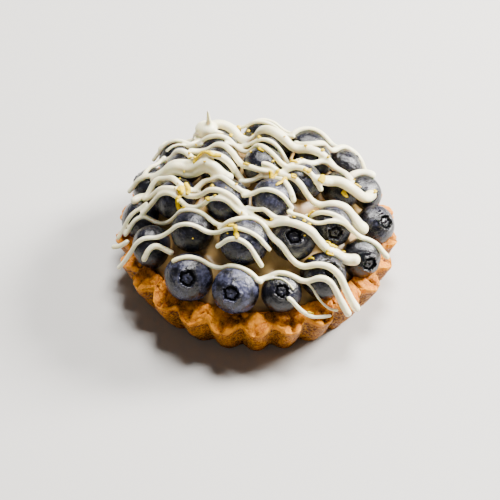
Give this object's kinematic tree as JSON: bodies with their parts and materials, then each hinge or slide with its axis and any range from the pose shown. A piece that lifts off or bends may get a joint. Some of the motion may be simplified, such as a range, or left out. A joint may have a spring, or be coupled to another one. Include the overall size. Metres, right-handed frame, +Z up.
{
  "type": "fruit tart",
  "caption": "Small round tart: fluted pastry case, domed cream, whole blueberries on top, piped icing strands and lemon zest.",
  "frame": {"origin": "centre of the flat base, on the surface that the tart stands on", "axes": "+Z up, -Y towards the viewer of the picture, +X to the viewer's right"},
  "size_m": [0.089, 0.0887, 0.0441],
  "materials": {
    "crust": "baked shortcrust, golden brown, slightly greasy sheen on the crests",
    "cream": "smooth pale custard cream, soft sheen",
    "berry": "blue-black skin with a patchy pale bloom, wet highlights",
    "icing": "set ivory icing, satin gloss",
    "zest": "fresh lemon peel, moist"
  },
  "bodies": {
    "root": {"crust": "crust", "cream": "cream", "berry_01": "berry", "berry_02": "berry", "berry_03": "berry", "berry_04": "berry", "berry_05": "berry", "berry_06": "berry", "berry_07": "berry", "berry_08": "berry", "berry_09": "berry", "berry_10": "berry", "berry_11": "berry", "berry_12": "berry", "berry_13": "berry", "berry_14": "berry", "berry_15": "berry", "berry_16": "berry", "berry_17": "berry", "berry_18": "berry", "berry_19": "berry", "berry_20": "berry", "berry_21": "berry", "berry_22": "berry", "berry_23": "berry", "berry_24": "berry", "berry_25": "berry", "berry_26": "berry", "berry_27": "berry", "berry_28": "berry", "berry_29": "berry", "berry_30": "berry"}
  },
  "joints": []
}
